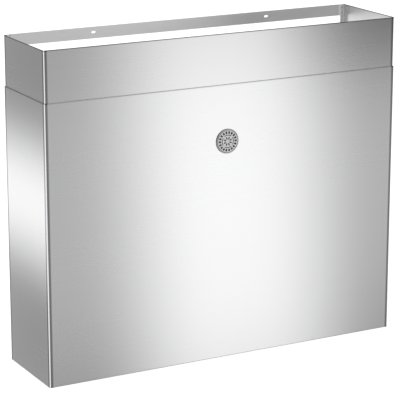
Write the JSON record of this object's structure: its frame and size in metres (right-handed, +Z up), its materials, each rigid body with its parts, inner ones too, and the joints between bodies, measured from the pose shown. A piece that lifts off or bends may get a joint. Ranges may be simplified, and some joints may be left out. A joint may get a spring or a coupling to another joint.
{
  "type": "range hood duct cover",
  "caption": "Two-piece telescopic sheet-steel cover that hides the duct between a wall-mounted range hood and the ceiling; the inner shell slides up inside the outer one.",
  "frame": {"origin": "centre of the footprint on the plane the lower cover stands on, with the covers fully closed; the footprint counts the badge, which stands 3 mm in front of the front panel", "axes": "+X to the right of someone facing the front panel, +Y towards the wall, so the front panel faces -Y, +Z up along the slide"},
  "size_m": [0.898, 0.223, 0.762],
  "materials": {
    "brushed_shell": "brushed stainless sheet, satin",
    "plain_sheet": "plain mill-finish stainless sheet",
    "rivet": "plain blind rivet",
    "glide_tape": "slippery white plastic tape",
    "badge_foam": "double-sided foam pad",
    "badge_metal": "cast, satin",
    "badge_enamel": "dark infill, semi-matt"
  },
  "bodies": {
    "lower": {"lower_cover": "brushed_shell", "foot_angle_front": "plain_sheet", "foot_angle_left": "plain_sheet", "foot_angle_right": "plain_sheet", "glide_tape_front": "glide_tape", "glide_tape_left": "glide_tape", "glide_tape_right": "glide_tape", "badge_pad": "badge_foam", "badge_dish": "badge_metal", "badge_enamel": "badge_enamel", "badge_relief": "badge_metal"},
    "upper": {"upper_cover": "brushed_shell", "wall_strip": "brushed_shell", "strip_rivet_left_lower": "rivet", "strip_rivet_left_upper": "rivet", "strip_rivet_right_lower": "rivet", "strip_rivet_right_upper": "rivet"}
  },
  "joints": [
    {"name": "upper_cover_slide", "type": "slide", "parent": "lower", "child": "upper", "axis": [0, 0, 1], "range_m": [0, 0.5]}
  ]
}
